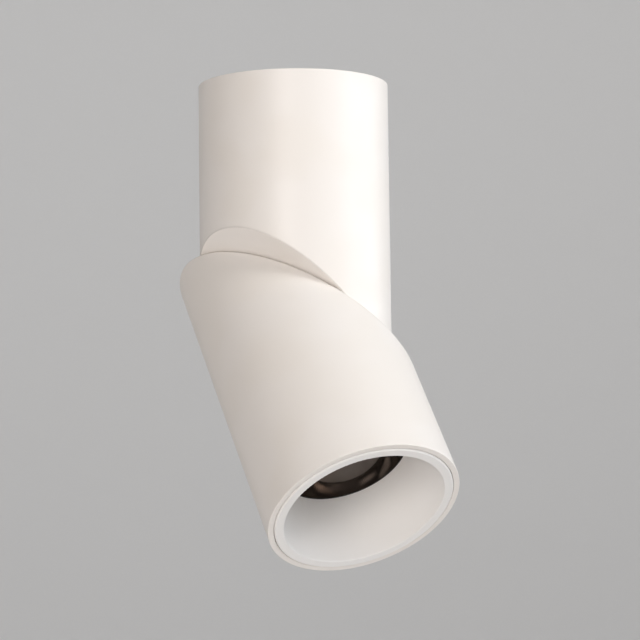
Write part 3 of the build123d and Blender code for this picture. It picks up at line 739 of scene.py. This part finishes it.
def cross_head(mesh, place, radius, height):
    """A pan head on the place's plane, its crown arched and pressed with a cross."""
    arm = 0.17 * radius
    reach_of_arm = 0.62 * radius
    sunk = 0.62 * height

    def recess(angle, out, up):
        off_arm = min(abs(out * cos(angle)), abs(out * sin(angle)))
        along_arm = max(abs(out * cos(angle)), abs(out * sin(angle)))
        across = 1 - ease(off_arm, 0.75 * arm, 1.15 * arm)
        towards_end = 1 - ease(along_arm, 0.45 * reach_of_arm, reach_of_arm)
        return out, up - sunk * across * towards_end

    crown = []
    for row in range(crown_rows - 1):
        part = row / crown_rows
        crown.append((radius * part, height * (1 - crown_fall * part**2)))
    lathe(mesh, place, crown, head_points, recess)
    edge, top = crown[-1]
    round_off = radius - edge
    shoulder = [crown[-1]]
    for row in range(1, shoulder_rows + 1):
        angle = pi / 2 * row / shoulder_rows
        shoulder.append((edge + round_off * sin(angle), top - round_off * (1 - cos(angle))))
    lathe(mesh, place, shoulder + [(radius, 0.0), (0.0, 0.0)], head_points)


def threaded_screws(node, body, axis, thread, pitch, head, head_height, material, slot):
    """Replaces a piece's plain screws by threaded ones with cross heads."""
    mesh = bmesh.new()
    side = axis.orthogonal().normalized()
    for foot, low, high in pegs(node, axis):
        seat = high - head_height
        place = place_at(foot + seat * axis, axis, side)
        helix(mesh, place, thread / 2, pitch, low - seat, 0.0)
        cross_head(mesh, place, head / 2, head_height)
    piece = finished_piece(node + "_threaded", mesh, body, material, crease=35)
    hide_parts(node)
    return piece


small_screw = {"thread": 2.8 * mm, "pitch": 0.5 * mm, "head": 5.5 * mm, "head_height": 2.0 * mm}
earth_size = {"thread": 3.8 * mm, "pitch": 0.7 * mm, "head": 7.0 * mm, "head_height": 2.6 * mm}
screw_jobs = [
    ("earth_screw", "ceiling_mount", down, earth_size),
    ("carrier_screws", "upper_body", down, small_screw),
    ("heat_sink_screws", "head", head_axis, small_screw),
    ("led_holder_screws", "head", head_axis, small_screw),
]
slot_of = {part["node"]: part["material_slot"] for part in subparts}
for node, body, axis, sizes in screw_jobs:
    finish = finish_of_slot[slot_of[node]]
    made = threaded_screws(node, body, axis, **sizes, material=finish, slot=slot_of[node])
    print(made.name, len(made.data.polygons), "faces")

# %% [markdown]
# ## The studio
# The photograph has no ceiling, only a plain ground behind the lamp. Here that is a round cove of pale
# paper: a floor that curves up into a wall all the way round, so every view of the lamp ends on paper and
# no line crosses the picture. One profile is turned about the vertical. The wall stands well back, so that
# the lamp throws no shadow on it. A closed room of paper would throw so much light about that the shade
# would fill up, so the vault over the wall is there for the eye alone: it glows softly and no other ray
# meets it.

# %% A round paper cove and its vault
floor_level = -1.5
cove_radius = 3.0
cove_bend = 1.1
wall_top = 2.4
vault_rise = 1.6
bend_steps = 16
turn_steps = 96


def turned_sheet(name, profile):
    """A smooth sheet turned about the vertical from (radius, level) points."""
    mesh = bmesh.new()
    line = [mesh.verts.new((out, 0, level)) for out, level in profile]
    edges = [mesh.edges.new(pair) for pair in zip(line, line[1:])]
    bmesh.ops.spin(mesh, geom=line + edges, cent=(0, 0, 0), axis=(0, 0, 1), angle=2 * pi, steps=turn_steps)
    bmesh.ops.remove_doubles(mesh, verts=mesh.verts, dist=mm)
    bmesh.ops.recalc_face_normals(mesh, faces=mesh.faces)
    for face in mesh.faces:
        face.smooth = True
    data = bpy.data.meshes.new(name)
    mesh.to_mesh(data)
    mesh.free()
    sheet = bpy.data.objects.new(name, data)
    bpy.context.scene.collection.objects.link(sheet)
    return sheet


def paper_finish(name, **fixed):
    """Matte pale card."""
    card = Finish(name, **fixed)
    fibre = card.noise(3 * mm, 3.0)
    card.feed(Base_Color=card.mix(fibre, tone(225, 225, 225), tone(228, 228, 228)))
    card.feed(Roughness=0.85 + 0.05 * fibre)
    return card.material


quarter = [pi / 2 * step / bend_steps for step in range(bend_steps + 1)]
bend_middle = cove_radius - cove_bend
bend = [(bend_middle + cove_bend * sin(a), floor_level + cove_bend * (1 - cos(a))) for a in quarter]
cove = turned_sheet("paper_cove", [(0.0, floor_level), *bend, (cove_radius, wall_top)])
cove.data.materials.append(paper_finish("studio_paper"))
dome = [(cove_radius * cos(a), wall_top + vault_rise * sin(a)) for a in quarter]
vault = turned_sheet("paper_vault", dome)
glow = {"Emission_Color": (0.93, 0.92, 0.9, 1.0), "Emission_Strength": 0.42}
vault.data.materials.append(paper_finish("studio_vault", **glow))
vault.visible_diffuse = vault.visible_glossy = vault.visible_transmission = vault.visible_shadow = False
for sheet in (cove, vault):
    print(sheet.name, len(sheet.data.polygons), "faces")

# %% [markdown]
# ## Light
# The white tubes are brightest a little right of the middle and fall away to a warm beige on the left, with
# a thin lighter rim at the very edge. So the key is a soft box high on the right, with a tall cool strip
# and a box at the right edge, and a broad one beside the camera opens the front. A small warm one low on
# the left tints the shade. Three dim panels below give the dark mirror something to show. Two boxes turn
# their backs to the lamp and wash the paper behind it, which gives the rims their light.

# %% Soft boxes
aim = Vector((0.01, -0.02, -0.1))
plain_white = (1.0, 1.0, 1.0)
wall_wash = {"colour": (1.0, 0.99, 0.98), "size": (1.6, 0.3), "distance": 0.9, "to_wall": True}


def soft_box(name, azimuth, elevation, power, colour, size=(0.6, 0.6), distance=1.6, to_wall=False):
    """An area light turned to the lamp or the wall. Azimuth 0 is the camera's side, 90 the right."""
    data = bpy.data.lights.new(name, "AREA")
    data.shape = "RECTANGLE"
    data.size, data.size_y = size
    data.energy = power
    data.color = colour
    light = bpy.data.objects.new(name, data)
    light.visible_camera = False
    bpy.context.scene.collection.objects.link(light)
    round_about = radians(azimuth)
    rise = radians(elevation)
    away = Vector((sin(round_about) * cos(rise), -cos(round_about) * cos(rise), sin(rise)))
    facing = -away if to_wall else away
    turn = facing.to_track_quat("Z", "Y").to_matrix().to_4x4()
    light.matrix_world = Matrix.Translation(aim + away * distance) @ turn


soft_box("key_box", 45, 45, power=9.9, colour=(1.0, 0.975, 0.945))
soft_box("side_strip", 75, 22, power=8.8, colour=(0.86, 0.92, 1.0), size=(0.6, 1.4))
soft_box("edge_box", 105, 5, power=4.4, colour=(0.96, 0.98, 1.0))
soft_box("front_box", -10, 5, power=9.1, colour=(1.0, 0.955, 0.92))
soft_box("warm_box", -45, -35, power=3.4, colour=(1.0, 0.86, 0.76))
soft_box("low_right_panel", 88, -38, power=2.4, colour=plain_white, size=(0.5, 0.5))
soft_box("low_front_panel", 35, -8, power=1.6, colour=plain_white, size=(0.3, 0.4))
soft_box("low_left_panel", -90, -65, power=0.6, colour=plain_white, size=(0.6, 0.4), distance=1.2)
soft_box("wall_high", 180, 45, power=22.0, **wall_wash)
soft_box("wall_low", 180, -45, power=4.0, **wall_wash)

world = bpy.data.worlds.new("room")
bpy.context.scene.world = world
world.use_nodes = True
room = world.node_tree.nodes["Background"]
room.inputs["Color"].default_value = (1.0, 0.97, 0.94, 1.0)
room.inputs["Strength"].default_value = 0.04
bpy.context.scene.view_settings.view_transform = "Standard"
print("lights:", len(bpy.data.lights))
